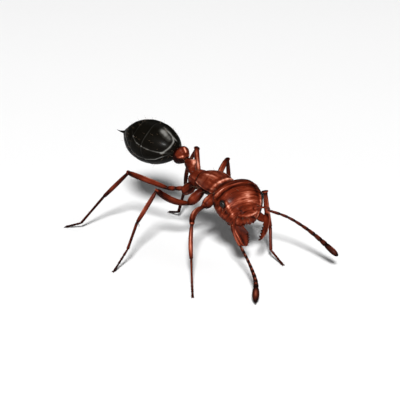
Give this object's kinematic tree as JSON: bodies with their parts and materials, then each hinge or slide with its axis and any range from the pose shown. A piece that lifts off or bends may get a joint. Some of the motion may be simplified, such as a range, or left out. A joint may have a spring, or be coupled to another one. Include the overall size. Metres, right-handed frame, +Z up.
{
  "type": "fire ant",
  "caption": "Standing fire ant worker: large head with toothed mandibles and bent antennae, slim waist of petiole and postpetiole, oval black gaster with a sting.",
  "frame": {"origin": "on the floor, under the middle of the whole model's box", "axes": "+X the way the ant faces, +Y to the ant's left, +Z up"},
  "size_m": [0.0084, 0.0053, 0.0033],
  "materials": {
    "red_cuticle": "smooth glossy red-brown cuticle",
    "dark_cuticle": "dark brown cuticle of antennae and tarsi",
    "black_cuticle": "glossy near-black cuticle of the gaster",
    "eye": "black faceted compound eye",
    "hair": "fine reddish-golden standing hairs"
  },
  "bodies": {
    "root": {"head": "red_cuticle", "eye_right": "eye", "mandible_right": "red_cuticle", "scape_right": "dark_cuticle", "funiculus_right": "dark_cuticle", "club_right": "dark_cuticle", "eye_left": "eye", "mandible_left": "red_cuticle", "scape_left": "dark_cuticle", "funiculus_left": "dark_cuticle", "club_left": "dark_cuticle", "pronotum": "red_cuticle", "mesothorax": "red_cuticle", "propodeum": "red_cuticle", "petiole": "red_cuticle", "postpetiole": "red_cuticle", "gaster_1": "black_cuticle", "gaster_2": "black_cuticle", "gaster_3": "black_cuticle", "gaster_4": "black_cuticle", "sting": "black_cuticle", "coxa_fore_right": "red_cuticle", "femur_fore_right": "red_cuticle", "tibia_fore_right": "red_cuticle", "tarsus_fore_right": "dark_cuticle", "coxa_mid_right": "red_cuticle", "femur_mid_right": "red_cuticle", "tibia_mid_right": "red_cuticle", "tarsus_mid_right": "dark_cuticle", "coxa_hind_right": "red_cuticle", "femur_hind_right": "red_cuticle", "tibia_hind_right": "red_cuticle", "tarsus_hind_right": "dark_cuticle", "coxa_fore_left": "red_cuticle", "femur_fore_left": "red_cuticle", "tibia_fore_left": "red_cuticle", "tarsus_fore_left": "dark_cuticle", "coxa_mid_left": "red_cuticle", "femur_mid_left": "red_cuticle", "tibia_mid_left": "red_cuticle", "tarsus_mid_left": "dark_cuticle", "coxa_hind_left": "red_cuticle", "femur_hind_left": "red_cuticle", "tibia_hind_left": "red_cuticle", "tarsus_hind_left": "dark_cuticle"}
  },
  "joints": []
}
